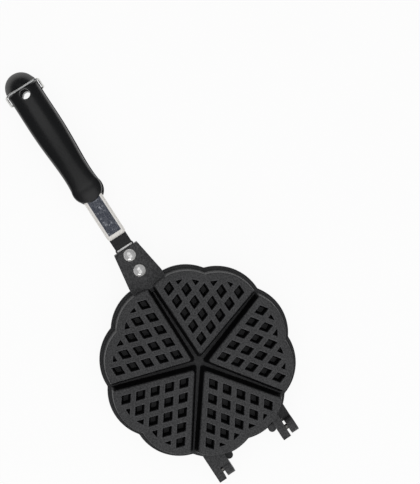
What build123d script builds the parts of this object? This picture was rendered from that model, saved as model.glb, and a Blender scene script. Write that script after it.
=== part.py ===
"""Stovetop waffle iron: two identical cast pans of five hearts, hinged at the back, with riveted
handles and a wire bail that latches the grips together.

Millimetres. While it is being built the model is centred on the pans: X runs along the axis
towards the handle, Z is up and Z = 0 is the plane where the two halves meet. The upper half is
modelled and the lower half is the same set of pieces turned half a turn about X. The last step
moves everything so that the origin is at the middle of the footprint, on the table.
"""
import os
from math import acos, atan2, cos, degrees, hypot, radians, sin, sqrt, tan

from build123d import *

os.makedirs("parts", exist_ok=True)

# ---------------------------------------------------------------- driving dimensions
# Pan outline: ten round lobes, two to each heart.
HEARTS = 5
LOBES = 2 * HEARTS
lobe_centre_radius = 47.1      # from the pan's centre to the centre of each lobe
lobe_radius = 45.4             # flange edge, measured from the lobe's centre
cusp_round = 1.6               # where two lobes of the flange meet
parting_gap = 0.2              # between the two rims when shut
rim_edge_height = 2.2          # outer step of the flange
rim_step_inset = 1.8           # width of that outer step
flange_height = 4.0            # second step, which is also the floor of the grooves
wall_foot_inset = 3.6          # foot of the hearts' outer wall
wall_top_inset = 5.0           # its top, so the wall leans in
pan_height = 17.5              # parting plane to the flat top of a heart
heart_edge_round = 1.2         # soft edge round each heart
heart_tip_round = 2.6          # upright corner at the middle of the pan
heart_corner_round = 1.6       # the other upright corners of a heart

# Grooves between the hearts, seen from outside.
groove_half_top_inner = 4.9    # half width at the heart's top, at the pan's centre
groove_half_top_outer = 3.7    # the same at the groove's outer end
groove_wall_lean = 3.3         # how far a groove wall leans over its whole height
groove_reach = 96.0            # how far out the groove's walls are measured

# The grid of pits outside and studs inside.
GRID = 5                       # whole pits along each straight side of a heart
grid_pitch = 13.8
first_pit_radius = 23.2        # from the pan's centre to the first pit
pit_side = 8.6
pit_floor_side = 4.9
pit_depth = 9.5
pit_edge_flare = 0.5           # small lead-in round a pit's mouth
corner_clip_inset = 12.5       # the corner pits end on this line inside the flange edge
corner_pit_depth = 7.0
corner_pit_floor_share = 0.4   # size of a corner pit's floor against its mouth
corner_pit_flare_share = 1.18
skin = 3.2                     # thickness under the flat top of a heart
pit_wall = 1.6                 # wall between a pit and the stud round it
stud_crest_height = 5.0        # from the parting plane to a stud's crest
corner_stud_crest_height = 7.5
corner_stud_root_share = 1.5
corner_stud_crest_share = 1.15
side_wall = 2.9                # wall of the hearts' sides, measured level
divider_crest = 0.8            # walls between hearts stop this far short of the parting plane

# Handle lug on the casting.
lug_start_x = 79.0
lug_start_half = 3.0
lug_shoulder_x = 84.0          # where the lug's sides leave the hearts' walls
lug_root_x = 92.4
lug_root_half = 17.6
lug_end_x = 125.8
lug_end_half = 12.4
lug_top = 9.0
lug_bottom = 1.0
lug_edge_round = 0.9
lip_length = 2.7
lip_half = 9.3
lip_top = 7.2
pocket_end_gap = 0.4           # between the pocket's blind end and the strap
pocket_side_clearance = 0.15

# Steel strap that carries the grip.
strap_start_x = 90.6
strap_width = 17.2
strap_thickness = 3.0
strap_low_z = 2.4              # underside, inside the lug
strap_high_z = 4.8             # underside, in the ferrule and grip
joggle_gap = 0.3               # from the lug's lip to the start of the joggle
joggle_run = 4.4
strap_end_x = 266.0
strap_edge_round = 0.5

# Rivets.
rivet_near_x = 102.2
rivet_far_x = 119.0
rivet_head_radius = 5.75
rivet_head_height = 2.9
rivet_shank_radius = 2.5
rivet_tail_radius = 4.0
rivet_tail_height = 1.1
rivet_clearance = 0.05

# Ferrule: a plated bolster round the strap, in front of the grip.
ferrule_start_x = 139.3
ferrule_width = 18.8
ferrule_bottom = 1.4
ferrule_top = 11.0
ferrule_side_round = 2.3
ferrule_lip_round = 3.0
ferrule_slot_clearance = 0.1
socket_depth = 8.0             # how far the ferrule stands into the grip
socket_clearance = 0.15

# Grip: one moulding, used twice.
grip_face_z = 0.4              # flat inner face above the parting plane
grip_front_x = 177.4
grip_front_half = 14.1         # also the radius of its round front, seen from above
grip_front_top = 14.0
grip_waist_x = 216.0
grip_waist_half = 12.9
grip_waist_top = 14.0
grip_swell_x = 246.0
grip_swell_half = 14.6
grip_swell_top = 15.2
grip_rear_x = 272.0
grip_rear_half = 14.9
grip_rear_top = 15.9
grip_end_half = 15.0
grip_end_top = 16.4
grip_front_crown_radius = 34.0     # roundness across the top, at the front
grip_front_side_round = 3.2        # between the crown and the upright sides, at the front
grip_crown_radius = 20.0           # the same from the waist on
grip_side_round = 6.0
grip_seam_round = 1.0          # edge of the flat inner face
nose_centre_x = 300.05         # middle of the domed end
shoulder_gap = 0.6             # between the bail's bar and the step in front of it
upper_grip_side = 0.0
lower_grip_side = -1.0         # the lower grip sits a little to the right of the upper one
lower_grip_forward = 2.0       # and nearer to the pans
hang_hole_x = 293.0            # clear of the bail's bar
hang_hole_radius = 4.9
strap_slot_clearance = 0.1
strap_slot_end_gap = 0.3

# Screw and nut that hold the grip on the strap.
screw_x = 246.0
screw_radius = 2.4
screw_head_radius = 4.6
screw_head_height = 2.2
screw_head_sink = 0.5          # head below the grip's flat face
screw_length = 11.2
screw_slot_width = 1.2
screw_slot_depth = 0.9
screw_clearance = 0.1
nut_corner_radius = 4.6
nut_height = 3.4

# Hinge: two stations, each with an arm of either half side by side.
pin_x = -99.3
pin_radius = 2.6
pin_running_clearance = 0.06
pin_end_chamfer = 0.3
knuckle_radius = 8.0
knuckle_clearance = 1.0        # round the other half's knuckles, where its arms swing past
arm_root_x = -72.0
arm_top = 8.0
arm_face_gap = 0.3             # from the parting plane to an arm's flat face
arm_outer_edge = 45.0          # outer side of the outer arm
outer_arm_width = 7.6
inner_arm_width = 8.0
arm_gap = 2.4
arm_end_round = 1.6
plate_edge_x = -96.0           # end of the wide plate that carries the outer arm
boss_x = -91.6
boss_y = 24.0
boss_radius = 3.8
boss_height = 5.0

# Wire bail.
bail_pivot_x = 292.0
bail_pivot_z = -11.0
bail_bar_x = 299.0
bail_bar_z = 15.2
bail_wire_radius = 1.0
bail_foot_half = 17.3          # half width at the pivots
bail_top_half = 16.9           # half width at the top corners
bail_foot_reach = 6.5          # how far each end is turned into the lower grip
bail_top_bend = 5.5
bail_foot_bend = 2.0
bail_side = -0.5               # middle of the bail, between the two grips' middles
bail_swing_clearance = 0.4
bail_hole_clearance = 0.08
bail_hole_end_gap = 0.3

# ---------------------------------------------------------------- worked out from those
groove_drop = pan_height - flange_height
half_heart = 180 / HEARTS
half_lobe = 180 / LOBES
heart_angles = [half_heart + k * 360 / HEARTS for k in range(HEARTS)]
lobe_angles = [half_lobe + k * 360 / LOBES for k in range(LOBES)]
inner_top_z = pan_height - skin
pit_floor_z = pan_height - pit_depth
corner_floor_z = pan_height - corner_pit_depth
strap_top_in_lug = strap_low_z + strap_thickness
lip_end_x = lug_end_x + lip_length
joggle_start_x = lip_end_x + joggle_gap
joggle_end_x = joggle_start_x + joggle_run
ferrule_end_x = grip_front_x + socket_depth
grip_front_axis_x = grip_front_x + grip_front_half
screw_head_z = grip_face_z + screw_head_sink
screw_seat_z = screw_head_z + screw_head_height
screw_end_z = screw_head_z + screw_length
nut_z = strap_high_z + strap_thickness
outer_arm_start = arm_outer_edge - outer_arm_width
inner_arm_end = outer_arm_start - arm_gap
inner_arm_start = inner_arm_end - inner_arm_width
bail_radius = hypot(bail_bar_x - bail_pivot_x, bail_bar_z - bail_pivot_z)
nose_swing_radius = bail_radius - bail_wire_radius - bail_swing_clearance
nose_offset = nose_centre_x - bail_pivot_x
grip_tip_x = bail_pivot_x + sqrt(nose_swing_radius**2 - (grip_face_z - bail_pivot_z) ** 2)
nose_radius = grip_tip_x - nose_centre_x
grip_shoulder_x = bail_bar_x - bail_wire_radius - shoulder_gap
arm_end_x = pin_x - knuckle_radius
origin_x = (grip_tip_x + arm_end_x) / 2
over = 1.0                     # how far cutters run past the faces that they cut
to_table = Pos(-origin_x, 0, pan_height)
turned_over = Rot(180, 0, 0)


# ---------------------------------------------------------------- small helpers
def slab(x0, x1, y0, y1, z0, z1):
    """Box between two corners."""
    return Pos((x0 + x1) / 2, (y0 + y1) / 2, (z0 + z1) / 2) * Box(x1 - x0, y1 - y0, z1 - z0)


def post(x, y, radius, z0, z1):
    """Upright cylinder."""
    return Pos(x, y, (z0 + z1) / 2) * Cylinder(radius, z1 - z0)


def cross_bar(x, z, radius, y0, y1):
    """Cylinder along Y."""
    return Pos(x, (y0 + y1) / 2, z) * Rot(90, 0, 0) * Cylinder(radius, y1 - y0)


def frustum(bottom, top):
    """Solid between two rings of corner points."""
    rings = [Wire.make_polygon(bottom, close=True), Wire.make_polygon(top, close=True)]
    return Solid.make_loft(rings, ruled=True)


def heading(angle):
    """Level unit vector at an angle in degrees."""
    return Vector(cos(radians(angle)), sin(radians(angle)), 0)


def wall_inset(z):
    """How far the hearts' outer wall stands inside the flange edge at a height."""
    return wall_foot_inset + (wall_top_inset - wall_foot_inset) * (z - flange_height) / groove_drop


def groove_lean(z):
    """How much narrower than at the top each side of a groove is at a height."""
    return groove_wall_lean * (pan_height - z) / groove_drop


# ---------------------------------------------------------------- pan casting
def lobes(angles, inset_low, inset_high, z0, z1):
    """Round lobes on a round core, as one solid, whose wall may lean from one inset to another."""
    bodies = [post(0, 0, lobe_centre_radius, z0, z1)]
    for angle in angles:
        centre = heading(angle) * lobe_centre_radius + Vector(0, 0, (z0 + z1) / 2)
        low, high = lobe_radius - inset_low, lobe_radius - inset_high
        body = Cylinder(low, z1 - z0) if low == high else Cone(low, high, z1 - z0)
        bodies.append(Pos(centre) * body)
    return bodies[0].fuse(*bodies[1:])


def sector(z, wall):
    """Corners of the sector between two grooves for a heart that points along +X."""
    inner = groove_half_top_inner - groove_lean(z) + wall
    outer = groove_half_top_outer - groove_lean(z) + wall
    turn = atan2(inner - outer, groove_reach)
    tip = inner * cos(turn) / sin(radians(half_heart) + turn)
    side = heading(half_heart + degrees(turn)) * 2 * groove_reach
    return [
        Vector(tip, 0, z),
        Vector(tip + side.X, -side.Y, z),
        Vector(tip + side.X, side.Y, z),
    ]


def heart_body(z0, z1, wall):
    """One heart along +X, between its grooves and its outer wall, drawn in by a wall."""
    round_part = lobes([-half_lobe, half_lobe], wall_inset(z0) + wall, wall_inset(z1) + wall, z0, z1)
    return round_part & frustum(sector(z0, wall), sector(z1, wall))


def upright_edges(body):
    """Edges that climb from a body's bottom to its top."""
    height = body.bounding_box().size.Z
    return [edge for edge in body.edges() if edge.bounding_box().size.Z > 0.9 * height]


def outer_heart():
    """Outside of a heart, with soft edges."""
    body = heart_body(rim_edge_height, pan_height, 0)
    corners = upright_edges(body)
    tip = min(corners, key=lambda edge: edge.center().X)
    body = body.fillet(heart_corner_round, [edge for edge in corners if edge is not tip])
    tip = min(upright_edges(body), key=lambda edge: edge.center().X)
    body = body.fillet(heart_tip_round, [tip])
    return body.fillet(heart_edge_round, body.faces().sort_by(Axis.Z)[-1].edges())


grid_u = heading(half_heart)
grid_v = heading(-half_heart)


def grid_centre(i, j):
    """Middle of the pit in row i and column j of a heart that points along +X."""
    return Vector(first_pit_radius, 0, 0) + (grid_u * i + grid_v * j) * grid_pitch


def rhombus(centre, side, z):
    """Corners of a pit's outline, whose sides run along the heart's straight sides."""
    up = Vector(0, 0, z)
    return [
        centre - (grid_u + grid_v) * (side / 2) + up,
        centre + (grid_u - grid_v) * (side / 2) + up,
        centre + (grid_u + grid_v) * (side / 2) + up,
        centre - (grid_u - grid_v) * (side / 2) + up,
    ]


def pit(centre):
    """Cutter for a whole pit, with its flared mouth."""
    mouth_z = pan_height - pit_edge_flare
    flare_side = pit_side + 2 * pit_edge_flare
    beyond = pan_height + over
    bowl = frustum(rhombus(centre, pit_floor_side, pit_floor_z), rhombus(centre, pit_side, mouth_z))
    mouth = frustum(rhombus(centre, pit_side, mouth_z), rhombus(centre, flare_side, pan_height))
    way_in = frustum(rhombus(centre, flare_side, pan_height), rhombus(centre, flare_side, beyond))
    return bowl.fuse(mouth, way_in)


def stud(centre):
    """Stud inside the pan, round a whole pit."""
    slope = (pit_side - pit_floor_side) / (pit_depth - pit_edge_flare)
    root = pit_floor_side + slope * (inner_top_z - pit_floor_z) + 2 * pit_wall
    crest = pit_floor_side + 2 * pit_wall
    sides = rhombus(centre, crest, stud_crest_height), rhombus(centre, root, inner_top_z + over)
    return frustum(*sides)


def corner_points(i, j):
    """Three corners and the outer side's middle of a pit cut short by the heart's round end."""
    inner = grid_centre(i, j) - (grid_u + grid_v) * (pit_side / 2)
    lobe = heading(half_lobe if i > j else -half_lobe) * lobe_centre_radius
    reach = lobe_radius - corner_clip_inset
    ends = []
    for side in (grid_v, grid_u):
        along = (inner - lobe).dot(side)
        ends.append(inner + side * (sqrt(along**2 - (inner - lobe).length**2 + reach**2) - along))
    middle = lobe + ((ends[0] + ends[1]) * 0.5 - lobe).normalized() * reach
    return inner, ends[0], middle, ends[1]


def corner_ring(points, share, z):
    """Outline of a corner pit, scaled about its middle."""
    inner, first, middle, last = points
    centre = (inner + first + last) * (1 / 3)
    inner, first, middle, last = (centre + (p - centre) * share + Vector(0, 0, z) for p in points)
    outline = [Line(inner, first), ThreePointArc(first, middle, last), Line(last, inner)]
    return Wire([line.edge() for line in outline])


def corner_loft(points, low_share, low_z, high_share, high_z):
    """Solid between two sizes of a corner pit's outline."""
    rings = [corner_ring(points, low_share, low_z), corner_ring(points, high_share, high_z)]
    return Solid.make_loft(rings, ruled=True)


def corner_pit(points):
    """Cutter for a corner pit, with its flared mouth."""
    mouth_z = pan_height - pit_edge_flare
    bowl = corner_loft(points, corner_pit_floor_share, corner_floor_z, 1, mouth_z)
    mouth = corner_loft(points, 1, mouth_z, corner_pit_flare_share, pan_height)
    flare = corner_pit_flare_share
    way_in = corner_loft(points, flare, pan_height, flare, pan_height + over)
    return bowl.fuse(mouth, way_in)


def corner_stud(points):
    """Stud inside the pan, round a corner pit."""
    crest = corner_stud_crest_share, corner_stud_crest_height
    root = corner_stud_root_share, inner_top_z + over
    return corner_loft(points, *crest, *root)


whole_pits = [grid_centre(i, j) for i in range(GRID) for j in range(GRID - i)]
corner_pits = [corner_points(i, GRID - i) for i in range(1, GRID)]


def heart_pits():
    """Cutters for all the pits of a heart that points along +X."""
    return [pit(centre) for centre in whole_pits] + [corner_pit(points) for points in corner_pits]


def heart_cavity():
    """Hollow inside one heart, round its studs."""
    hollow = heart_body(-over, inner_top_z, side_wall)
    studs = [stud(centre) for centre in whole_pits] + [corner_stud(points) for points in corner_pits]
    return hollow.cut(*studs)


def flange():
    """Stepped flange round the hearts."""
    rim = lobes(lobe_angles, 0, 0, parting_gap / 2, rim_edge_height)
    step = lobes(lobe_angles, rim_step_inset, rim_step_inset, parting_gap / 2, flange_height)
    rim = rim.fillet(cusp_round, upright_edges(rim.clean()))
    step = step.fillet(cusp_round, upright_edges(step.clean()))
    return rim.fuse(step)


def lug():
    """Solid lug that carries the strap, with the lip at its end."""
    half = [
        (lug_start_x, lug_start_half),
        (lug_shoulder_x, lug_root_half),
        (lug_root_x, lug_root_half),
        (lug_end_x, lug_end_half),
    ]
    outline = half + [(x, -y) for x, y in reversed(half)]
    rings = [[Vector(x, y, z) for x, y in outline] for z in (lug_bottom, lug_top)]
    body = frustum(*rings)
    top = body.faces().sort_by(Axis.Z)[-1]
    sides = [edge for edge in top.edges() if edge.center().X > lug_root_x]
    body = body.fillet(lug_edge_round, sides)
    return body.fuse(slab(lug_shoulder_x, lip_end_x, -lip_half, lip_half, lug_bottom, lip_top))


def strap_pocket():
    """Cutter for the pocket under the lug."""
    half = strap_width / 2 + pocket_side_clearance
    start = strap_start_x - pocket_end_gap
    return slab(start, lip_end_x + over, -half, half, lug_bottom - over, strap_top_in_lug)


def hinge_arm(y0, y1):
    """Arm between two sides, with a knuckle that is round below and square at its upper corner."""
    def at(x, z):
        return Vector(x, y0, z)

    front_x = pin_x + sqrt(knuckle_radius**2 - arm_face_gap**2)
    knuckle = ThreePointArc(at(arm_end_x, 0), at(pin_x, -knuckle_radius), at(front_x, arm_face_gap))
    outline = Wire([
        Line(at(arm_end_x, arm_top), at(arm_end_x, 0)).edge(),
        knuckle.edge(),
        Line(at(front_x, arm_face_gap), at(arm_root_x, arm_face_gap)).edge(),
        Line(at(arm_root_x, arm_face_gap), at(arm_root_x, arm_top)).edge(),
        Line(at(arm_root_x, arm_top), at(arm_end_x, arm_top)).edge(),
    ])
    arm = extrude(Face(outline), y1 - y0, dir=(0, 1, 0))
    end = arm.edges().filter_by(Axis.Y).sort_by(Axis.X)[:2].sort_by(Axis.Z)[-1]
    return arm.fillet(arm_end_round, [end])


def hinge_side():
    """What the casting has for the hinge: outer arm on a wide plate at one side, inner arm at the other."""
    plate = slab(plate_edge_x, arm_root_x, inner_arm_start, arm_outer_edge, arm_face_gap, arm_top)
    room = cross_bar(pin_x, 0, knuckle_radius + knuckle_clearance, inner_arm_start - over, outer_arm_start)
    boss = post(boss_x, -boss_y, boss_radius, arm_face_gap, boss_height)
    return [
        plate - room,
        hinge_arm(outer_arm_start, arm_outer_edge),
        hinge_arm(-inner_arm_end, -inner_arm_start),
        boss,
    ]


def pan(pin_hole_radius):
    """One casting, as the upper half."""
    hearts = [Rot(0, 0, angle) * outer_heart_body for angle in heart_angles]
    body = flange().fuse(*hearts, lug(), *hinge_side())
    crest = lobes(lobe_angles, wall_inset(0) + side_wall, wall_inset(0) + side_wall, -over, divider_crest)
    cutters = [crest, strap_pocket()]
    for angle in heart_angles:
        cutters.append(Rot(0, 0, angle) * cavity_body)
        cutters += [Rot(0, 0, angle) * cutter for cutter in pit_bodies]
    for x in (rivet_near_x, rivet_far_x):
        cutters.append(post(x, 0, rivet_shank_radius + rivet_clearance, 0, lug_top + over))
    reach = arm_outer_edge + over
    cutters.append(cross_bar(pin_x, 0, pin_hole_radius, -reach, reach))
    return body.cut(*cutters)


# ---------------------------------------------------------------- handle
def strap():
    """Flat steel strap with a joggle behind the lug."""
    low, high = strap_low_z, strap_high_z
    side = [
        (strap_start_x, low),
        (joggle_start_x, low),
        (joggle_end_x, high),
        (strap_end_x, high),
        (strap_end_x, high + strap_thickness),
        (joggle_end_x, high + strap_thickness),
        (joggle_start_x, low + strap_thickness),
        (strap_start_x, low + strap_thickness),
    ]
    faces = [[Vector(x, y, z) for x, z in side] for y in (-strap_width / 2, strap_width / 2)]
    body = frustum(*faces)
    long_edges = [edge for edge in body.edges() if abs(edge.center().Y) > strap_width / 2 - 0.01]
    body = body.fillet(strap_edge_round, [edge for edge in long_edges if edge.length > joggle_run])
    for x in (rivet_near_x, rivet_far_x):
        body = body - post(x, 0, rivet_shank_radius + rivet_clearance, 0, lug_top)
    return body - post(screw_x, 0, screw_radius + screw_clearance, 0, nut_z + over)


def rivet(x):
    """Rivet with a domed head on the lug and a flat tail under the strap."""
    rise = (rivet_head_radius**2 + rivet_head_height**2) / (2 * rivet_head_height)
    ball = Pos(x, 0, lug_top + rivet_head_height - rise) * Sphere(rise)
    head = ball & post(x, 0, rivet_head_radius, lug_top, lug_top + rivet_head_height)
    shank = post(x, 0, rivet_shank_radius, strap_low_z - rivet_tail_height, lug_top + over)
    tail = post(x, 0, rivet_tail_radius, strap_low_z - rivet_tail_height, strap_low_z)
    return head.fuse(shank, tail)


def ferrule_block(grow, x0, x1):
    """Ferrule's outer shape between two ends, grown all round."""
    half = ferrule_width / 2 + grow
    body = slab(x0, x1, -half, half, ferrule_bottom - grow, ferrule_top + grow)
    return body.fillet(ferrule_side_round + grow, body.edges().filter_by(Axis.X))


def strap_passage(grow, x0, x1):
    """Room for the strap's high part between two ends."""
    half = strap_width / 2 + grow
    return slab(x0, x1, -half, half, strap_high_z - grow, strap_high_z + strap_thickness + grow)


def ferrule():
    """Bolster with a rounded lip at its front and a slot for the strap right through."""
    body = ferrule_block(0, ferrule_start_x, ferrule_end_x)
    front = body.faces().sort_by(Axis.X)[0]
    top = [edge for edge in front.edges() if edge.center().Z > ferrule_top - 0.01]
    body = body.fillet(ferrule_lip_round, top)
    return body - strap_passage(ferrule_slot_clearance, ferrule_start_x - over, ferrule_end_x + over)


def grip_section(x, half, top, side, crown_radius=grip_crown_radius, side_round=grip_side_round):
    """Closed cross section of the grip."""
    crown_z = top - crown_radius
    run = half - side_round
    rise = sqrt((crown_radius - side_round) ** 2 - run**2)
    shoulder_z = crown_z + rise
    share = crown_radius / (crown_radius - side_round)
    meet_y, meet_z = run * share, crown_z + rise * share
    lean = atan2(rise, run) / 2
    mid_y = run + side_round * cos(lean)
    mid_z = shoulder_z + side_round * sin(lean)
    seam = grip_seam_round
    seam_mid = seam * (1 - cos(radians(45)))

    def at(y, z):
        return Vector(x, y + side, z)

    right = [
        Line(at(half, grip_face_z + seam), at(half, shoulder_z)),
        ThreePointArc(at(half, shoulder_z), at(mid_y, mid_z), at(meet_y, meet_z)),
    ]
    crown = ThreePointArc(at(meet_y, meet_z), at(0, top), at(-meet_y, meet_z))
    left = [
        ThreePointArc(at(-meet_y, meet_z), at(-mid_y, mid_z), at(-half, shoulder_z)),
        Line(at(-half, shoulder_z), at(-half, grip_face_z + seam)),
    ]
    foot = [
        ThreePointArc(
            at(-half, grip_face_z + seam),
            at(-half + seam_mid, grip_face_z + seam_mid),
            at(-half + seam, grip_face_z),
        ),
        Line(at(-half + seam, grip_face_z), at(half - seam, grip_face_z)),
        ThreePointArc(
            at(half - seam, grip_face_z),
            at(half - seam_mid, grip_face_z + seam_mid),
            at(half, grip_face_z + seam),
        ),
    ]
    return Wire([edge.edge() for edge in right + [crown] + left + foot])


def grip_front_section(side):
    """Cross section where the round front meets the grip's length."""
    shape = grip_front_half, grip_front_top, side, grip_front_crown_radius, grip_front_side_round
    return grip_section(grip_front_axis_x, *shape)


def grip_front(side):
    """Round front: half of the front section turned about its upright middle line."""
    x = grip_front_axis_x
    right_half = slab(x - over, x + over, side, side + 2 * grip_front_half, -over, 2 * grip_front_top)
    section = Face(grip_front_section(side)) & right_half
    return Solid.revolve(section.faces()[0], 360, Axis((x, side, 0), (0, 0, 1)))


def grip_nose(side):
    """Domed end, low enough for the bail's bar to swing over it."""
    def height(radius):
        return bail_pivot_z + sqrt(nose_swing_radius**2 - (radius + nose_offset) ** 2)

    def at(radius, z):
        return Vector(nose_centre_x + radius, side, z)

    radii = [nose_radius * share for share in (1, 0.75, 0.5, 0.25, 0)]
    dome = Spline([at(radius, height(radius)) for radius in radii])
    outline = Wire([
        Line(at(0, grip_face_z), at(nose_radius, height(nose_radius))).edge(),
        dome.edge(),
        Line(at(0, height(0)), at(0, grip_face_z)).edge(),
    ])
    return Solid.revolve(Face(outline), 360, Axis((nose_centre_x, side, 0), (0, 0, 1)))


def grip(side, forward):
    """Moulded grip, whose outside may stand to one side of the strap inside it, or nearer the pans."""
    stations = [
        (grip_waist_x, grip_waist_half, grip_waist_top),
        (grip_swell_x, grip_swell_half, grip_swell_top),
        (grip_rear_x, grip_rear_half, grip_rear_top),
        (grip_shoulder_x, grip_end_half, grip_end_top),
    ]
    sections = [grip_front_section(side)] + [grip_section(*station, side) for station in stations]
    body = Solid.make_loft(sections).fuse(grip_front(side), grip_nose(side))
    body = body - post(hang_hole_x, side, hang_hole_radius, -over, grip_end_top + over)
    body = Pos(-forward, 0, 0) * body
    body = body - ferrule_block(socket_clearance, grip_front_x - forward - over, ferrule_end_x)
    body = body - strap_passage(strap_slot_clearance, ferrule_start_x, strap_end_x + strap_slot_end_gap)
    body = body - post(screw_x, 0, screw_radius + screw_clearance, -over, screw_end_z + screw_clearance)
    body = body - post(screw_x, 0, screw_head_radius + screw_clearance, -over, screw_seat_z)
    pocket = nut_prism(nut_corner_radius + screw_clearance, nut_height + screw_clearance)
    return body - pocket


def nut_prism(corner_radius, height):
    """Hexagonal block on the strap's upper side."""
    return Pos(screw_x, 0, nut_z) * extrude(RegularPolygon(corner_radius, 6), height)


def nut():
    """Nut moulded into the grip."""
    hole = post(screw_x, 0, screw_radius + screw_clearance, nut_z - over, nut_z + nut_height + over)
    return nut_prism(nut_corner_radius, nut_height) - hole


def screw():
    """Slotted screw, driven from the grip's flat inner face."""
    head = post(screw_x, 0, screw_head_radius, screw_head_z, screw_seat_z)
    shank = post(screw_x, 0, screw_radius, screw_seat_z - over, screw_end_z)
    reach = screw_head_radius + over
    half = screw_slot_width / 2
    slot_top = screw_head_z + screw_slot_depth
    slot = slab(screw_x - reach, screw_x + reach, -half, half, screw_head_z - over, slot_top)
    return head.fuse(shank) - slot


# ---------------------------------------------------------------- hinge pins and bail
def hinge_pin(y0, y1):
    """Plain pin, flush with the arms' outer sides."""
    body = cross_bar(pin_x, 0, pin_radius, y0, y1)
    return body.chamfer(pin_end_chamfer, None, body.edges().filter_by(GeomType.CIRCLE))


def bail():
    """Wire bail: bar over the noses, two legs, and ends turned into the lower grip."""
    rise = Vector(bail_bar_x - bail_pivot_x, 0, bail_bar_z - bail_pivot_z)
    foot = Vector(bail_pivot_x, bail_side, bail_pivot_z)
    corners = []
    for hand in (1, -1):
        ends = [
            foot + Vector(0, hand * (bail_foot_half - bail_foot_reach), 0),
            foot + Vector(0, hand * bail_foot_half, 0),
            foot + rise + Vector(0, hand * bail_top_half, 0),
        ]
        corners += ends if hand == 1 else reversed(ends)
    bends = (bail_foot_bend, bail_top_bend, bail_top_bend, bail_foot_bend)
    path = Wire(bent_line(corners, bends))
    ring = Plane(origin=corners[0], z_dir=(0, 1, 0)) * Circle(bail_wire_radius)
    return sweep(ring, path=path)


def bent_line(corners, bends):
    """Straight runs between corner points, joined by round bends."""
    edges = []
    start = corners[0]
    for before, corner, after, bend in zip(corners, corners[1:], corners[2:], bends):
        towards, away = (before - corner).normalized(), (after - corner).normalized()
        half_angle = acos(towards.dot(away)) / 2
        back = bend / tan(half_angle)
        first, last = corner + towards * back, corner + away * back
        inward = (towards + away).normalized()
        middle = corner + inward * (bend / sin(half_angle) - bend)
        edges += [Line(start, first).edge(), ThreePointArc(first, middle, last).edge()]
        start = last
    return edges + [Line(start, corners[-1]).edge()]


def bail_holes():
    """Blind holes for the bail's ends, across the lower grip."""
    inner = bail_foot_half - bail_foot_reach - bail_hole_end_gap
    radius = bail_wire_radius + bail_hole_clearance
    left = cross_bar(bail_pivot_x, bail_pivot_z, radius, bail_side + inner, bail_side + bail_foot_half)
    right = cross_bar(bail_pivot_x, bail_pivot_z, radius, bail_side - bail_foot_half, bail_side - inner)
    return left.fuse(right)


# ---------------------------------------------------------------- all the pieces
outer_heart_body = outer_heart()
cavity_body = heart_cavity()
pit_bodies = heart_pits()

upper = {
    "upper_pan": pan(pin_radius + pin_running_clearance),
    "upper_strap": strap(),
    "upper_rivet_near": rivet(rivet_near_x),
    "upper_rivet_far": rivet(rivet_far_x),
    "upper_ferrule": ferrule(),
    "upper_grip": grip(upper_grip_side, 0),
    "upper_nut": nut(),
    "upper_screw": screw(),
}
lower = {
    "lower_pan": turned_over * pan(pin_radius),
    "lower_strap": turned_over * strap(),
    "lower_rivet_near": turned_over * rivet(rivet_near_x),
    "lower_rivet_far": turned_over * rivet(rivet_far_x),
    "lower_ferrule": turned_over * ferrule(),
    "lower_grip": turned_over * grip(-lower_grip_side, lower_grip_forward) - bail_holes(),
    "lower_nut": turned_over * nut(),
    "lower_screw": turned_over * screw(),
}
moving = {
    "hinge_pin_left": hinge_pin(inner_arm_start, arm_outer_edge),
    "hinge_pin_right": hinge_pin(-arm_outer_edge, -inner_arm_start),
    "latch_bail": bail(),
}

for name, body in {**upper, **lower, **moving}.items():
    export_step(to_table * body, os.path.join("parts", name + ".step"))

print(f"origin at x {origin_x:.3f} from the pans' centre, table at z {-pan_height}")
print(f"tip x {grip_tip_x:.3f}, nose radius {nose_radius:.3f}, bail radius {bail_radius:.3f}")
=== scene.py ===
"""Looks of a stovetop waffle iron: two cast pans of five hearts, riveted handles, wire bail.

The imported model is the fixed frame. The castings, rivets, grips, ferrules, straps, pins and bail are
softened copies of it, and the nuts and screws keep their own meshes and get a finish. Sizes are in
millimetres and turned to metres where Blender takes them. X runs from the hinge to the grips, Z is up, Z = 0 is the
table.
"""

import logging
import math
from dataclasses import dataclass, field
from enum import Enum

import bpy
from mathutils import Matrix, Vector

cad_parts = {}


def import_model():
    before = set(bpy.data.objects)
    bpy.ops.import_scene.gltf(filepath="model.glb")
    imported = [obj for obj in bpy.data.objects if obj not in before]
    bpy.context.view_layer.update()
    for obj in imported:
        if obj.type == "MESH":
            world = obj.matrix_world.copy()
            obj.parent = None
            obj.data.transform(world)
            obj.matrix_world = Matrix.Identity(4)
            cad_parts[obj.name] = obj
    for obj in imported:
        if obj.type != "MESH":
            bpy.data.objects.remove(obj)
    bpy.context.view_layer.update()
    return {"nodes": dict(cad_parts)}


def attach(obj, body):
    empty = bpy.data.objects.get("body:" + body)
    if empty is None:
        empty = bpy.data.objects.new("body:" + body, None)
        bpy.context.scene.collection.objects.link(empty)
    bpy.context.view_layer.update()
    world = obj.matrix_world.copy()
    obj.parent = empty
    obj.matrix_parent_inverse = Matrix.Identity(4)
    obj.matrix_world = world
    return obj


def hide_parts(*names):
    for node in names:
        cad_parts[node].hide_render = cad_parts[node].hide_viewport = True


LOG = logging.getLogger("waffle_iron")
MM = 0.001
PARTING_PLANE = 17.5           # height of the plane where the two halves meet
PANS_CENTRE_X = -103.877       # middle of the round pans


# ---------------------------------------------------------------- names that the frame knows
class Body(Enum):
    """Moving bodies of the iron."""

    LOWER = "lower_half"
    UPPER = "upper_half"
    BAIL = "bail"


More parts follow.
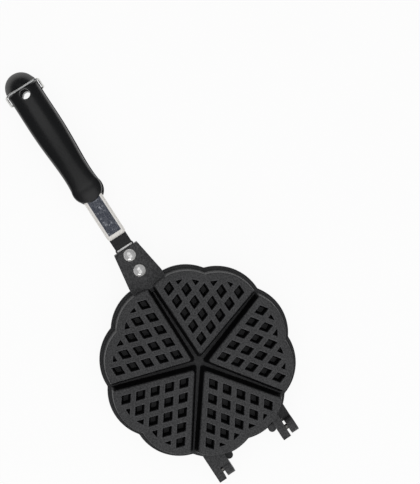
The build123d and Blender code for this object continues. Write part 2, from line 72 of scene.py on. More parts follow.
class Half(Enum):
    """The two equal halves; the lower one is the upper one turned half a turn about X."""

    UPPER = "upper"
    LOWER = "lower"

    def body(self) -> Body:
        """Return the body that this half's pieces ride on."""
        return Body.UPPER if self is Half.UPPER else Body.LOWER

    def height(self, above_parting: float) -> float:
        """Return the height over the table of a point so far out from the parting plane, in mm."""
        return PARTING_PLANE + (above_parting if self is Half.UPPER else -above_parting)


class Slot(Enum):
    """Material slots of the record."""

    CASTING = "pan_casting"
    STRAP = "strap_steel"
    RIVET = "rivet_metal"
    FERRULE = "ferrule_plating"
    GRIP = "grip_resin"
    NUT = "nut_brass"
    SCREW = "screw_steel"
    PIN = "pin_steel"
    WIRE = "wire_steel"


# ---------------------------------------------------------------- colour and node helpers
def linear(code: str) -> tuple[float, float, float, float]:
    """Turn an sRGB hex colour into linear light.

    Args:
        code: colour as "#rrggbb".

    Returns:
        Red, green, blue and an alpha of one.
    """
    parts = [int(code[i : i + 2], 16) / 255 for i in (1, 3, 5)]
    red, green, blue = [p / 12.92 if p <= 0.04045 else ((p + 0.055) / 1.055) ** 2.4 for p in parts]
    return red, green, blue, 1.0


def per_metre(size_mm: float) -> float:
    """Return the texture scale that gives features of this size in mm."""
    return 1 / (size_mm * MM)


def add_node(tree: bpy.types.NodeTree, kind: str, settings: dict | None = None, inputs: dict | None = None) -> bpy.types.Node:
    """Add one node with its settings and links.

    Args:
        tree: node tree that gets the node.
        kind: the node's type name.
        settings: the node's own properties.
        inputs: socket name or number to a value, or to an output socket that is linked.

    Returns:
        The new node.
    """
    node = tree.nodes.new(kind)
    for key, value in (settings or {}).items():
        setattr(node, key, value)
    for key, value in (inputs or {}).items():
        if isinstance(value, bpy.types.NodeSocket):
            tree.links.new(value, node.inputs[key])
        else:
            node.inputs[key].default_value = value
    return node


# ---------------------------------------------------------------- finishes
@dataclass(frozen=True)
class Finish:
    """A surface finish that makes its Blender material once."""

    name: str

    def material(self) -> bpy.types.Material:
        """Return the material, made on first use."""
        made = bpy.data.materials.get(self.name)
        if made is not None:
            return made
        made = bpy.data.materials.new(self.name)
        made.use_nodes = True
        tree = made.node_tree
        tree.nodes.clear()
        place = add_node(tree, "ShaderNodeTexCoord").outputs["Object"]
        shader = self.shader(tree, place)
        add_node(tree, "ShaderNodeOutputMaterial", inputs={"Surface": shader})
        return made

    def shader(self, tree: bpy.types.NodeTree, place: bpy.types.NodeSocket) -> bpy.types.NodeSocket:
        """Build the surface's nodes.

        Args:
            tree: the material's node tree.
            place: object coordinates.

        Returns:
            The shader output.
        """
        raise NotImplementedError


@dataclass(frozen=True)
class CoatedCasting(Finish):
    """Cast aluminium under a sprayed and baked non-stick coat.

    The eye sees a satin charcoal skin: cloudy in gloss where the spray lay thicker, with an orange
    peel of about two millimetres and the fine grain of the blasted casting through it. Down in the
    pits and on the hearts' walls the colour is darkened to deep black as a painted shade.
    """

    coat: str = "#1f1f20"
    coat_thin: str = "#474748"
    coat_painted_shade: str = "#0e0e0f"
    painted_shade_over_mm: float = 4.6      # painted shade: deep black between these heights out from the parting plane
    painted_shade_under_mm: float = 16.2
    painted_shade_radius_mm: float = 83.0   # and within this distance of the pans' centre
    painted_shade_fade_mm: float = 1.2
    low_painted_shade_share: float = 0.5         # painted shade at half strength on the flange and the floors of the grooves
    low_painted_shade_fade_mm: float = 0.5
    cloud_mm: float = 24.0
    peel_mm: float = 2.2
    grain_mm: float = 1.3          # real grit is 0.2 mm; drawn this coarse so that it shows
    roughness: float = 0.46
    roughness_spread: float = 0.10
    peel_depth_mm: float = 0.035
    grain_depth_mm: float = 0.05
    ior: float = 1.42

    def shader(self, tree: bpy.types.NodeTree, place: bpy.types.NodeSocket) -> bpy.types.NodeSocket:
        """Build the coat; see Finish.shader for the arguments and the result."""
        cloud = add_node(tree, "ShaderNodeTexNoise", inputs={
            "Vector": place, "Scale": per_metre(self.cloud_mm), "Detail": 4.0, "Roughness": 0.6})
        peel = add_node(tree, "ShaderNodeTexNoise", inputs={
            "Vector": place, "Scale": per_metre(self.peel_mm), "Detail": 2.0, "Roughness": 0.5})
        grain = add_node(tree, "ShaderNodeTexNoise", inputs={
            "Vector": place, "Scale": per_metre(self.grain_mm), "Detail": 3.0, "Roughness": 0.7})
        tone = add_node(tree, "ShaderNodeMapRange", inputs={
            "Value": cloud.outputs["Fac"], "From Min": 0.35, "From Max": 0.7, "To Min": 0.0, "To Max": 0.25})
        speck = add_node(tree, "ShaderNodeMapRange", inputs={
            "Value": grain.outputs["Fac"], "From Min": 0.4, "From Max": 0.62, "To Min": 0.0, "To Max": 0.9})
        amount = add_node(tree, "ShaderNodeMath", {"operation": "ADD", "use_clamp": True}, {
            0: tone.outputs["Result"], 1: speck.outputs["Result"]})
        rubbed = add_node(tree, "ShaderNodeMix", {"data_type": "RGBA"}, {
            0: amount.outputs["Value"], 6: linear(self.coat), 7: linear(self.coat_thin)})
        # painted shade: the deep black colour replaces the coat where the mask is one
        colour = add_node(tree, "ShaderNodeMix", {"data_type": "RGBA"}, {
            0: self.painted_shade_mask(tree, place), 6: rubbed.outputs[2], 7: linear(self.coat_painted_shade)})
        gloss = add_node(tree, "ShaderNodeMapRange", inputs={
            "Value": cloud.outputs["Fac"], "From Min": 0.3, "From Max": 0.7,
            "To Min": self.roughness - self.roughness_spread / 2,
            "To Max": self.roughness + self.roughness_spread / 2})
        peel_bump = add_node(tree, "ShaderNodeBump", inputs={
            "Height": peel.outputs["Fac"], "Strength": 1.0, "Distance": self.peel_depth_mm * MM})
        grain_bump = add_node(tree, "ShaderNodeBump", inputs={
            "Height": grain.outputs["Fac"], "Strength": 1.0, "Distance": self.grain_depth_mm * MM,
            "Normal": peel_bump.outputs["Normal"]})
        return add_node(tree, "ShaderNodeBsdfPrincipled", inputs={
            "Base Color": colour.outputs[2], "Roughness": gloss.outputs["Result"], "IOR": self.ior,
            "Normal": grain_bump.outputs["Normal"]}).outputs["BSDF"]

    def painted_shade_mask(self, tree: bpy.types.NodeTree, place: bpy.types.NodeSocket) -> bpy.types.NodeSocket:
        """Return a socket that is one where the coat gets its full painted shade, part way where it gets some, and
        zero elsewhere.

        Args:
            tree: the material's node tree.
            place: object coordinates.

        Returns:
            The socket.
        """
        height = add_node(tree, "ShaderNodeSeparateXYZ", inputs={"Vector": place}).outputs["Z"]
        signed = add_node(tree, "ShaderNodeMath", {"operation": "SUBTRACT"}, {0: height, 1: PARTING_PLANE * MM})
        out = add_node(tree, "ShaderNodeMath", {"operation": "ABSOLUTE"}, {0: signed.outputs["Value"]})
        flat = add_node(tree, "ShaderNodeVectorMath", {"operation": "MULTIPLY"}, {0: place, 1: (1, 1, 0)})
        away = add_node(tree, "ShaderNodeVectorMath", {"operation": "DISTANCE"}, {
            0: flat.outputs["Vector"], 1: (PANS_CENTRE_X * MM, 0, 0)})
        share = self.fade(tree, out.outputs["Value"], self.painted_shade_over_mm, self.painted_shade_fade_mm)
        for value, edge in ((out, self.painted_shade_under_mm), (away, self.painted_shade_radius_mm)):
            inside = self.fade(tree, value.outputs["Value"], edge, -self.painted_shade_fade_mm)
            share = add_node(tree, "ShaderNodeMath", {"operation": "MULTIPLY"}, {0: share, 1: inside}).outputs["Value"]
        low = self.fade(tree, out.outputs["Value"], self.painted_shade_over_mm, -self.low_painted_shade_fade_mm)
        some = add_node(tree, "ShaderNodeMath", {"operation": "MULTIPLY"}, {0: low, 1: self.low_painted_shade_share})
        return add_node(tree, "ShaderNodeMath", {"operation": "MAXIMUM"}, {
            0: share, 1: some.outputs["Value"]}).outputs["Value"]

    def fade(self, tree: bpy.types.NodeTree, value: bpy.types.NodeSocket, edge_mm: float, run_mm: float) -> bpy.types.NodeSocket:
        """Return a socket that turns from zero to one over a run past an edge, or before it where the run is negative.

        Args:
            tree: the material's node tree.
            value: a length in metres.
            edge_mm: where the share is zero.
            run_mm: signed way from there to where it is one.

        Returns:
            The socket.
        """
        return add_node(tree, "ShaderNodeMapRange", inputs={
            "Value": value, "From Min": edge_mm * MM, "From Max": (edge_mm + run_mm) * MM}).outputs["Result"]


@dataclass(frozen=True)
class RubbedMetal(Finish):
    """Bare metal: light, with rub marks along one way and a slight cloud of handling.

    The eye sees the metal's own colour, streaks of brightness along the rubbing and softer gloss
    where hands and the table have dulled it.
    """

    metal: str = "#c4c4c2"
    dulled: str = "#8f8f8d"
    along: tuple[float, float, float] = (0.06, 1.0, 1.0)   # pattern is this much slower along X, Y, Z
    streak_mm: float = 0.5
    cloud_mm: float = 7.0
    roughness: float = 0.25
    roughness_spread: float = 0.12
    streak_depth_mm: float = 0.006
    metallic: float = 1.0
    dulled_over: float = 0.45      # part of the cloud pattern that is clear of stains

    def shader(self, tree: bpy.types.NodeTree, place: bpy.types.NodeSocket) -> bpy.types.NodeSocket:
        """Build the metal; see Finish.shader for the arguments and the result."""
        drawn = add_node(tree, "ShaderNodeMapping", inputs={"Vector": place, "Scale": self.along})
        streak = add_node(tree, "ShaderNodeTexNoise", inputs={
            "Vector": drawn.outputs["Vector"], "Scale": per_metre(self.streak_mm), "Detail": 3.0, "Roughness": 0.65})
        cloud = add_node(tree, "ShaderNodeTexNoise", inputs={
            "Vector": place, "Scale": per_metre(self.cloud_mm), "Detail": 5.0, "Roughness": 0.62})
        dulling = add_node(tree, "ShaderNodeMapRange", inputs={
            "Value": cloud.outputs["Fac"], "From Min": self.dulled_over, "From Max": 0.72, "To Min": 0.0, "To Max": 1.0})
        colour = add_node(tree, "ShaderNodeMix", {"data_type": "RGBA"}, {
            0: dulling.outputs["Result"], 6: linear(self.metal), 7: linear(self.dulled)})
        mean = add_node(tree, "ShaderNodeMath", {"operation": "ADD"}, {
            0: dulling.outputs["Result"], 1: streak.outputs["Fac"]})
        gloss = add_node(tree, "ShaderNodeMapRange", inputs={
            "Value": mean.outputs["Value"], "From Min": 0.3, "From Max": 1.6,
            "To Min": self.roughness - self.roughness_spread / 2,
            "To Max": self.roughness + self.roughness_spread / 2})
        bump = add_node(tree, "ShaderNodeBump", inputs={
            "Height": streak.outputs["Fac"], "Strength": 1.0, "Distance": self.streak_depth_mm * MM})
        return add_node(tree, "ShaderNodeBsdfPrincipled", inputs={
            "Base Color": colour.outputs[2], "Metallic": self.metallic, "Roughness": gloss.outputs["Result"],
            "Normal": bump.outputs["Normal"]}).outputs["BSDF"]


@dataclass(frozen=True)
class GlossyResin(Finish):
    """Compression-moulded phenolic resin, polished black.

    The eye sees a near-black body, a wet-looking gloss that wavers with the mould's slow sinks, and
    faint dust and wiping marks that dull it in places.
    """

    resin: str = "#151514"
    handled: str = "#1f1f1e"
    sink_mm: float = 22.0
    dust_mm: float = 1.3
    roughness: float = 0.34
    roughness_spread: float = 0.14
    sink_depth_mm: float = 0.16
    dust_depth_mm: float = 0.006
    ior: float = 1.55

    def shader(self, tree: bpy.types.NodeTree, place: bpy.types.NodeSocket) -> bpy.types.NodeSocket:
        """Build the resin; see Finish.shader for the arguments and the result."""
        sink = add_node(tree, "ShaderNodeTexNoise", inputs={
            "Vector": place, "Scale": per_metre(self.sink_mm), "Detail": 2.0, "Roughness": 0.45})
        dust = add_node(tree, "ShaderNodeTexNoise", inputs={
            "Vector": place, "Scale": per_metre(self.dust_mm), "Detail": 4.0, "Roughness": 0.7})
        specks = add_node(tree, "ShaderNodeMapRange", inputs={
            "Value": dust.outputs["Fac"], "From Min": 0.55, "From Max": 0.8, "To Min": 0.0, "To Max": 1.0})
        colour = add_node(tree, "ShaderNodeMix", {"data_type": "RGBA"}, {
            0: specks.outputs["Result"], 6: linear(self.resin), 7: linear(self.handled)})
        mean = add_node(tree, "ShaderNodeMath", {"operation": "ADD"}, {
            0: specks.outputs["Result"], 1: sink.outputs["Fac"]})
        gloss = add_node(tree, "ShaderNodeMapRange", inputs={
            "Value": mean.outputs["Value"], "From Min": 0.3, "From Max": 1.3,
            "To Min": self.roughness - self.roughness_spread / 2,
            "To Max": self.roughness + self.roughness_spread / 2})
        sink_bump = add_node(tree, "ShaderNodeBump", inputs={
            "Height": sink.outputs["Fac"], "Strength": 1.0, "Distance": self.sink_depth_mm * MM})
        dust_bump = add_node(tree, "ShaderNodeBump", inputs={
            "Height": dust.outputs["Fac"], "Strength": 1.0, "Distance": self.dust_depth_mm * MM,
            "Normal": sink_bump.outputs["Normal"]})
        return add_node(tree, "ShaderNodeBsdfPrincipled", inputs={
            "Base Color": colour.outputs[2], "Roughness": gloss.outputs["Result"], "IOR": self.ior,
            "Normal": dust_bump.outputs["Normal"]}).outputs["BSDF"]


NON_STICK_COAT = CoatedCasting("non_stick_coat")
# The same coat on the rounded edges: lighter, as a painted highlight along them, and glossier.
EDGE_COAT_PAINTED_HIGHLIGHT = CoatedCasting("non_stick_coat_painted_edge_highlight", coat="#3d3d3f", coat_thin="#535355",
                               roughness=0.34, peel_depth_mm=0.01, grain_depth_mm=0.02)
# Baked black enamel over mild steel strip: darker and glossier than the casting, finer grain.
STRAP_ENAMEL = CoatedCasting("baked_strap_enamel", coat="#0d0d0d", coat_thin="#191919", cloud_mm=11.0,
                             peel_mm=1.4, roughness=0.33, ior=1.5)
# Nickel-chrome plate on a zinc bolster: cold mirror, spotted by stains of the plating bath.
CHROME_PLATE = RubbedMetal("nickel_chrome_plate", metal="#d2d4d8", dulled="#c9ccd2", along=(0.5, 1.0, 1.0),
                           streak_mm=1.6, cloud_mm=3.0, roughness=0.22, roughness_spread=0.32,
                           streak_depth_mm=0.003, dulled_over=0.56)
# The same plate on the bolster's rounded sides and front, satin, with a near-white colour that is a
# painted reflection of the bright room all round: it shows as a pale frame.
PAINTED_REFLECTION_PLATE = RubbedMetal("nickel_chrome_plate_painted_reflection", metal="#faf7f2", dulled="#eae7e1", along=(0.2, 1.0, 1.0),
                          streak_mm=0.8, cloud_mm=4.0, roughness=0.5, roughness_spread=0.12,
                          streak_depth_mm=0.003, metallic=0.25)
# Turned aluminium rivet, tumbled bright: warm white metal with soft small scratches.
POLISHED_RIVET = RubbedMetal("tumbled_aluminium_rivet", metal="#fbfaf8", dulled="#dddcd8",
                             along=(1.0, 1.0, 1.0), streak_mm=0.9, cloud_mm=2.6, roughness=0.17,
                             roughness_spread=0.10, streak_depth_mm=0.003, metallic=0.5)
# Near-white metal strip along the lug's lip.
LIGHT_LIP_METAL = RubbedMetal("light_lip_metal", metal="#f0efed", dulled="#d2d1ce", along=(1.0, 0.1, 1.0),
                               streak_mm=0.4, roughness=0.42, metallic=0.5)
# Drawn steel wire with a bright nickel skin: the draw marks run along it.
DRAWN_WIRE = RubbedMetal("drawn_nickelled_wire", metal="#d8d8d5", dulled="#b5b4b0", cloud_mm=5.0,
                         roughness=0.3, streak_depth_mm=0.002)
# Cold-headed steel pin, plain and lightly oiled: greyer and duller than the wire.
PLAIN_STEEL = RubbedMetal("oiled_plain_steel", metal="#9c9a95", dulled="#64625e", along=(1.0, 0.08, 1.0),
                          roughness=0.36)
ZINC_PLATE = RubbedMetal("bright_zinc_plate", metal="#c6c8cb", dulled="#989a9e", along=(1.0, 1.0, 1.0),
                         cloud_mm=2.2, roughness=0.3)
TURNED_BRASS = RubbedMetal("turned_brass", metal="#c8a557", dulled="#8f7338", along=(1.0, 1.0, 0.1),
                           streak_mm=0.3, cloud_mm=2.4, roughness=0.28)
BLACK_PHENOLIC = GlossyResin("polished_black_phenolic")
# The moulded edge of the resin, buffed: the same black, with less dust on it.
BUFFED_PHENOLIC = GlossyResin("buffed_phenolic_edge", resin="#1a1a1a", roughness=0.12, dust_depth_mm=0.002)


# ---------------------------------------------------------------- modelling by hand
def only(piece: bpy.types.Object) -> None:
    """Deselect all and make this piece the one that operators act on."""
    bpy.ops.object.select_all(action="DESELECT")
    piece.select_set(True)
    bpy.context.view_layer.objects.active = piece


def dress_node(node: bpy.types.Object, finish: Finish) -> None:
    """Put a finish on all the slots of a CAD node, on its object and not on its mesh.

    Args:
        node: the node's object.
        finish: what it gets.
    """
    for slot in node.material_slots:
        slot.link = "OBJECT"
        slot.material = finish.material()


@dataclass(frozen=True)
class Softening:
    """How a copy of a CAD node gets its soft edges."""

    weld_mm: float = 0.01
    flat_within_deg: float = 0.5
    edge_over_deg: float = 34.0
    width_mm: float = 0.25
    segments: int = 2
    smooth_under_deg: float = 32.0
    leaning_over_deg: float = 180.0    # faces that lean more than this from level get the edge finish too

    def copy(self, source: bpy.types.Object, name: str, finish: Finish, edge_finish: Finish) -> bpy.types.Object:
        """Copy a node's mesh, merge it, round its sharp edges and dress it.

        Args:
            source: the node's object, which is left alone.
            name: name of the new piece.
            finish: finish of the faces.
            edge_finish: finish of the rounded edges.

        Returns:
            The finished piece.
        """
        piece = bpy.data.objects.new(name, source.data.copy())
        piece.data.name = name
        bpy.context.scene.collection.objects.link(piece)
        only(piece)
        piece.data.materials.clear()
        piece.data.materials.append(finish.material())
        piece.data.materials.append(edge_finish.material())
        bpy.ops.mesh.customdata_custom_splitnormals_clear()
        bpy.ops.object.mode_set(mode="EDIT")
        bpy.ops.mesh.select_all(action="SELECT")
        bpy.ops.mesh.remove_doubles(threshold=self.weld_mm * MM)
        bpy.ops.mesh.dissolve_limited(angle_limit=math.radians(self.flat_within_deg))
        bpy.ops.object.mode_set(mode="OBJECT")
        bevel = piece.modifiers.new("soft_edges", "BEVEL")
        bevel.limit_method = "ANGLE"
        bevel.angle_limit = math.radians(self.edge_over_deg)
        bevel.width = self.width_mm * MM
        bevel.segments = self.segments
        bevel.use_clamp_overlap = False
        bevel.material = 1
        bpy.ops.object.modifier_apply(modifier=bevel.name)
        least_upright = math.cos(math.radians(min(self.leaning_over_deg, 90.0)))
        for face in piece.data.polygons:
            if self.leaning_over_deg < 90 and abs(face.normal.z) < least_upright:
                face.material_index = 1
        self.shade(piece)
        return piece

    def shade(self, piece: bpy.types.Object) -> None:
        """Smooth a piece between its sharp edges and keep its flats level.

        Args:
            piece: the piece, which gets new normals.
        """
        only(piece)
        bpy.ops.mesh.customdata_custom_splitnormals_clear()
        bpy.ops.object.shade_smooth_by_angle(angle=math.radians(self.smooth_under_deg))
        level = piece.modifiers.new("level_flats", "WEIGHTED_NORMAL")
        level.keep_sharp = True
        bpy.ops.object.modifier_apply(modifier=level.name)

    def replace(self, nodes: dict[str, bpy.types.Object], look: "SoftLook") -> bpy.types.Object:
        """Show a softened copy in a CAD node's place.

        Args:
            nodes: the CAD nodes by name.
            look: which node, and what its copy gets.

        Returns:
            The copy.
        """
        piece = self.copy(nodes[look.node], f"{look.node}_{look.ending}", look.finish, look.edge_finish or look.finish)
        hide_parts(look.node)
        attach(piece, look.body.value)
        return piece


@dataclass(frozen=True)
class SoftLook:
    """What the softened copy of one CAD node is called and gets."""

    node: str
    ending: str
    finish: Finish
    slot: Slot
    body: Body
    edge_finish: Finish | None = None


# ---------------------------------------------------------------- sub-assemblies
@dataclass
class Pan:
    """One casting with its rivets and the light strip on the lip behind its lug."""

    half: Half
    softening: Softening = field(default_factory=Softening)
    rivet_edges: Softening = field(default_factory=lambda: Softening(width_mm=0.15))
    lip_x: float = 23.6            # middle of the light strip
    lip_height: float = 7.2        # the lip's top, out from the parting plane
    lip_length: float = 15.7
    lip_width: float = 1.7
    lip_proud: float = 0.08
    lip_depth: float = 0.5
    lip_round: float = 0.2

    def build(self, nodes: dict[str, bpy.types.Object]) -> list[bpy.types.Object]:
        """Make the casting, its rivets and its light lip strip.

        Args:
            nodes: the CAD nodes by name.

        Returns:
            The new pieces.
        """
        name, body = self.half.value, self.half.body()
        # the rounded edges take the coat that is lighter as a painted highlight
        casting = SoftLook(f"{name}_pan", "casting", NON_STICK_COAT, Slot.CASTING, body, EDGE_COAT_PAINTED_HIGHLIGHT)
        made = [self.softening.replace(nodes, casting)]
        for place in ("near", "far"):
            rivet = SoftLook(f"{name}_rivet_{place}", "headed", POLISHED_RIVET, Slot.RIVET, body)
            made.append(self.rivet_edges.replace(nodes, rivet))
        lip = self.light_lip()
        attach(lip, body.value)
        return made + [lip]

    def light_lip(self) -> bpy.types.Object:
        """Make the light metal strip along the lip, sunk in the casting with its face proud.

        Returns:
            The strip.
        """
        middle = self.half.height(self.lip_height + self.lip_proud - self.lip_depth / 2)
        bpy.ops.object.select_all(action="DESELECT")
        bpy.ops.mesh.primitive_cube_add(
            size=1, location=(self.lip_x * MM, 0, middle * MM),
            scale=(self.lip_width * MM, self.lip_length * MM, self.lip_depth * MM))
        strip = bpy.context.active_object
        strip.name = strip.data.name = f"{self.half.value}_pan_bare_lip"
        bpy.ops.object.transform_apply(location=True, rotation=True, scale=True)
        bpy.ops.object.mode_set(mode="EDIT")
        bpy.ops.mesh.select_all(action="SELECT")
        bpy.ops.mesh.bevel(offset=self.lip_round * MM, segments=3)
        bpy.ops.object.mode_set(mode="OBJECT")
        bpy.ops.object.shade_smooth_by_angle(angle=math.radians(40))
        strip.data.materials.append(LIGHT_LIP_METAL.material())
        return strip


@dataclass
class Handle:
    """Strap, ferrule, grip, nut and screw of one half."""

    half: Half
    grip_edges: Softening = field(default_factory=lambda: Softening(width_mm=0.2, edge_over_deg=40.0))
    metal_edges: Softening = field(default_factory=lambda: Softening(width_mm=0.2, edge_over_deg=40.0))
    painted_reflection_front: float = 4.2       # how far the painted reflection frame runs in from the bolster's front
    painted_reflection_side: float = 2.9        # and from its sides
    # the bolster's leaning faces and rounded edges take the plate with the painted reflection
    bolster_edges: Softening = field(
        default_factory=lambda: Softening(width_mm=0.2, edge_over_deg=40.0, leaning_over_deg=10.0))

    def build(self, nodes: dict[str, bpy.types.Object]) -> list[bpy.types.Object]:
        """Make the softened grip, ferrule and strap.

        Args:
            nodes: the CAD nodes by name.

        Returns:
            The new pieces.
        """
        name, body = self.half.value, self.half.body()
        grip = SoftLook(f"{name}_grip", "moulding", BLACK_PHENOLIC, Slot.GRIP, body, BUFFED_PHENOLIC)
        ferrule = SoftLook(f"{name}_ferrule", "bolster", CHROME_PLATE, Slot.FERRULE, body, PAINTED_REFLECTION_PLATE)
        strap = SoftLook(f"{name}_strap", "bar", STRAP_ENAMEL, Slot.STRAP, body)
        bolster = self.bolster_edges.replace(nodes, ferrule)
        self.paint_reflection_frame(bolster)
        return [self.grip_edges.replace(nodes, grip), bolster, self.metal_edges.replace(nodes, strap)]

    def paint_reflection_frame(self, bolster: bpy.types.Object) -> None:
        """Cut the bolster along the frame's inner edges and give what lies outside them the plate with the painted
        reflection.

        Args:
            bolster: the softened ferrule.
        """
        corners = [corner.co for corner in bolster.data.vertices]
        front = min(corner.x for corner in corners) + self.painted_reflection_front * MM
        side = max(corner.y for corner in corners) - self.painted_reflection_side * MM
        only(bolster)
        for point, across in (((front, 0, 0), (1, 0, 0)), ((0, side, 0), (0, 1, 0)), ((0, -side, 0), (0, 1, 0))):
            bpy.ops.object.mode_set(mode="EDIT")
            bpy.ops.mesh.select_all(action="SELECT")
            bpy.ops.mesh.bisect(plane_co=point, plane_no=across)
            bpy.ops.object.mode_set(mode="OBJECT")
        for face in bolster.data.polygons:
            if face.center.x < front or abs(face.center.y) > side:
                face.material_index = 1
        self.bolster_edges.shade(bolster)

    def dress(self, nodes: dict[str, bpy.types.Object]) -> None:
        """Give the nut and screw, which the grip hides, their finishes.

        Args:
            nodes: the CAD nodes by name.
        """
        dress_node(nodes[f"{self.half.value}_nut"], TURNED_BRASS)
        dress_node(nodes[f"{self.half.value}_screw"], ZINC_PLATE)


@dataclass
class HingeAndLatch:
    """The two hinge pins and the wire bail."""

    pins: tuple[str, str] = ("hinge_pin_left", "hinge_pin_right")
    bail: str = "latch_bail"
    edges: Softening = field(default_factory=lambda: Softening(width_mm=0.1, edge_over_deg=50.0))

    def build(self, nodes: dict[str, bpy.types.Object]) -> list[bpy.types.Object]:
        """Make the softened pins and bail.

        Args:
            nodes: the CAD nodes by name.

        Returns:
            The new pieces.
        """
        looks = [SoftLook(pin, "turned", PLAIN_STEEL, Slot.PIN, Body.LOWER) for pin in self.pins]
        looks.append(SoftLook(self.bail, "wire", DRAWN_WIRE, Slot.WIRE, Body.BAIL))
        return [self.edges.replace(nodes, look) for look in looks]


# ---------------------------------------------------------------- studio
@dataclass(frozen=True)
class SoftBox:
    """One soft lamp: where it hangs, where it points, its size in mm and how bright its face is."""

    name: str
    at: tuple[float, float, float]
    aim: tuple[float, float, float]
    width: float
    depth: float
    brightness: float              # 1 is the white of the paper

    def hang(self) -> None:
        """Make the lamp."""
        data = bpy.data.lights.new(self.name, "AREA")
        data.shape, data.size, data.size_y = "RECTANGLE", self.width * MM, self.depth * MM
        data.energy = self.brightness * math.pi * data.size * data.size_y
        lamp = bpy.data.objects.new(self.name, data)
        lamp.location = Vector(self.at) * MM
        lamp.rotation_mode = "QUATERNION"
        lamp.rotation_quaternion = ((Vector(self.aim) - Vector(self.at)) * MM).to_track_quat("-Z", "Y")
        bpy.context.scene.collection.objects.link(lamp)


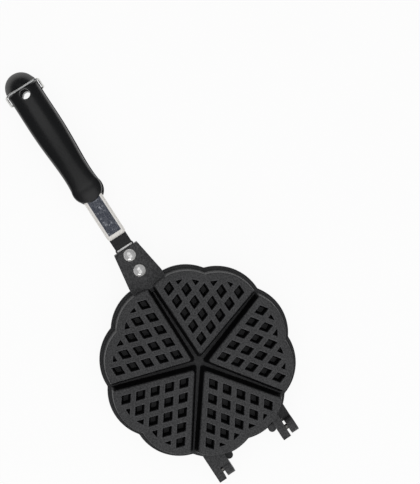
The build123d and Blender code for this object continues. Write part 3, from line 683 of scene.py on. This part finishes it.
@dataclass
class Studio:
    """Pale floor, soft light and the camera over the iron."""

    camera_at: tuple[float, float, float] = (76.1, -9.0, 1017.1)
    camera_aim: tuple[float, float, float] = (-17.5, -70.6, 0.0)
    image_up_heading_deg: float = -32.67   # from +X towards +Y
    lens_mm: float = 79.96
    sensor_mm: float = 36.0
    floor_half: float = 3000.0
    floor_colour: str = "#f4f4f3"
    background_share: float = 0.92         # how much of the floor's look is plain white
    dome_strength: float = 0.52
    tent_half: float = 1700.0
    tent_height: float = 1500.0
    tent_colour: str = "#4d5058"
    boxes: tuple[SoftBox, ...] = (
        SoftBox("box_over_pans", (-780.0, 0.0, 1400.0), (-780.0, 0.0, 0.0), 1380.0, 1300.0, 0.72),
        SoftBox("box_over_grips", (840.0, 0.0, 1400.0), (840.0, 0.0, 0.0), 1380.0, 1300.0, 0.72),
        SoftBox("box_low_at_picture_foot", (-1160.0, 740.0, 640.0), (-100.0, 0.0, 0.0), 900.0, 420.0, 2.8),
    )

    def build(self) -> None:
        """Set up the view transform, camera, floor, tent, lamps and dome."""
        bpy.context.scene.view_settings.view_transform = "Standard"
        self.camera()
        self.floor()
        self.tent()
        self.dome()
        for box in self.boxes:
            box.hang()

    def camera(self) -> None:
        """Place the camera from where it stands, what it looks at and the way the picture's top points."""
        stand = Vector(self.camera_at) * MM
        back = (stand - Vector(self.camera_aim) * MM).normalized()
        heading = math.radians(self.image_up_heading_deg)
        right = Vector((math.cos(heading), math.sin(heading), 0)).cross(back).normalized()
        up = back.cross(right)
        data = bpy.data.cameras.new("photo_camera")
        data.lens, data.sensor_width = self.lens_mm, self.sensor_mm
        camera = bpy.data.objects.new("photo_camera", data)
        camera.matrix_world = Matrix.Translation(stand) @ Matrix((right, up, back)).transposed().to_4x4()
        bpy.context.scene.collection.objects.link(camera)
        bpy.context.scene.camera = camera

    def floor(self) -> None:
        """Lay the floor: white to the camera and to reflections, and still darkened by the iron's shadow."""
        bpy.ops.object.select_all(action="DESELECT")
        bpy.ops.mesh.primitive_plane_add(size=2 * self.floor_half * MM, location=(0, 0, -0.0002))
        floor = bpy.context.active_object
        floor.name = "floor"
        tree = self.bare_tree(floor, "floor_paper")
        share = add_node(tree, "ShaderNodeMath", {"operation": "MULTIPLY"}, {
            0: self.background_rays(tree), 1: self.background_share})
        paper = add_node(tree, "ShaderNodeBsdfDiffuse", inputs={"Color": linear(self.floor_colour)})
        white = add_node(tree, "ShaderNodeEmission", inputs={"Color": (1, 1, 1, 1), "Strength": 1.0})
        mixed = add_node(tree, "ShaderNodeMixShader", inputs={
            0: share.outputs["Value"], 1: paper.outputs["BSDF"], 2: white.outputs["Emission"]})
        add_node(tree, "ShaderNodeOutputMaterial", inputs={"Surface": mixed.outputs["Shader"]})

    def tent(self) -> None:
        """Put up the dim walls and ceiling behind the lamps, which only reflections see."""
        bpy.ops.object.select_all(action="DESELECT")
        bpy.ops.mesh.primitive_cube_add(size=2 * self.tent_half * MM, location=(0, 0, self.tent_half * MM))
        tent = bpy.context.active_object
        tent.name = "studio_tent"
        bpy.ops.object.transform_apply(location=True, rotation=True, scale=True)
        for corner in tent.data.vertices:
            corner.co.z = min(corner.co.z, self.tent_height * MM)
        bpy.ops.object.mode_set(mode="EDIT")
        bpy.ops.mesh.select_all(action="DESELECT")
        bpy.ops.object.mode_set(mode="OBJECT")
        for face in tent.data.polygons:
            face.select = face.normal.z < -0.5
        bpy.ops.object.mode_set(mode="EDIT")
        bpy.ops.mesh.delete(type="FACE")
        bpy.ops.object.mode_set(mode="OBJECT")
        tree = self.bare_tree(tent, "tent_cloth")
        cloth = add_node(tree, "ShaderNodeEmission", inputs={"Color": linear(self.tent_colour), "Strength": 1.0})
        add_node(tree, "ShaderNodeOutputMaterial", inputs={"Surface": cloth.outputs["Emission"]})
        tent.visible_camera = tent.visible_diffuse = tent.visible_shadow = tent.visible_transmission = False

    def bare_tree(self, piece: bpy.types.Object, name: str) -> bpy.types.NodeTree:
        """Give a stage piece a new material with an empty node tree.

        Args:
            piece: the floor or the tent.
            name: the material's name.

        Returns:
            The node tree.
        """
        made = bpy.data.materials.new(name)
        made.use_nodes = True
        made.node_tree.nodes.clear()
        piece.data.materials.append(made)
        return made.node_tree

    def background_rays(self, tree: bpy.types.NodeTree) -> bpy.types.NodeSocket:
        """Return a socket that is one for camera, glossy and transmission rays.

        Args:
            tree: node tree of the floor or the world.

        Returns:
            The socket.
        """
        rays = add_node(tree, "ShaderNodeLightPath")
        shiny = add_node(tree, "ShaderNodeMath", {"operation": "MAXIMUM"}, {
            0: rays.outputs["Is Glossy Ray"], 1: rays.outputs["Is Transmission Ray"]})
        return add_node(tree, "ShaderNodeMath", {"operation": "MAXIMUM"}, {
            0: rays.outputs["Is Camera Ray"], 1: shiny.outputs["Value"]}).outputs["Value"]

    def dome(self) -> None:
        """Light everything softly from all round; the dome itself is seen as plain white."""
        world = bpy.data.worlds.new("studio_dome")
        bpy.context.scene.world = world
        world.use_nodes = True
        tree = world.node_tree
        tree.nodes.clear()
        strength = add_node(tree, "ShaderNodeMapRange", inputs={
            "Value": self.background_rays(tree), "To Min": self.dome_strength, "To Max": 1.0})
        light = add_node(tree, "ShaderNodeBackground", inputs={
            "Color": (1, 1, 1, 1), "Strength": strength.outputs["Result"]})
        add_node(tree, "ShaderNodeOutputWorld", inputs={"Surface": light.outputs["Background"]})


# ---------------------------------------------------------------- all of it
def main() -> None:
    """Load the frame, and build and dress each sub-assembly in order."""
    logging.basicConfig(level=logging.INFO, format="%(name)s: %(message)s")
    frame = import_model()
    nodes = frame["nodes"]
    Studio().build()
    for assembly in [made(half) for half in Half for made in (Pan, Handle)] + [HingeAndLatch()]:
        for piece in assembly.build(nodes):
            LOG.info("%s: %d faces", piece.name, len(piece.data.polygons))
        if isinstance(assembly, Handle):
            assembly.dress(nodes)
    LOG.info("sizes written")


if __name__ == "__main__":
    main()
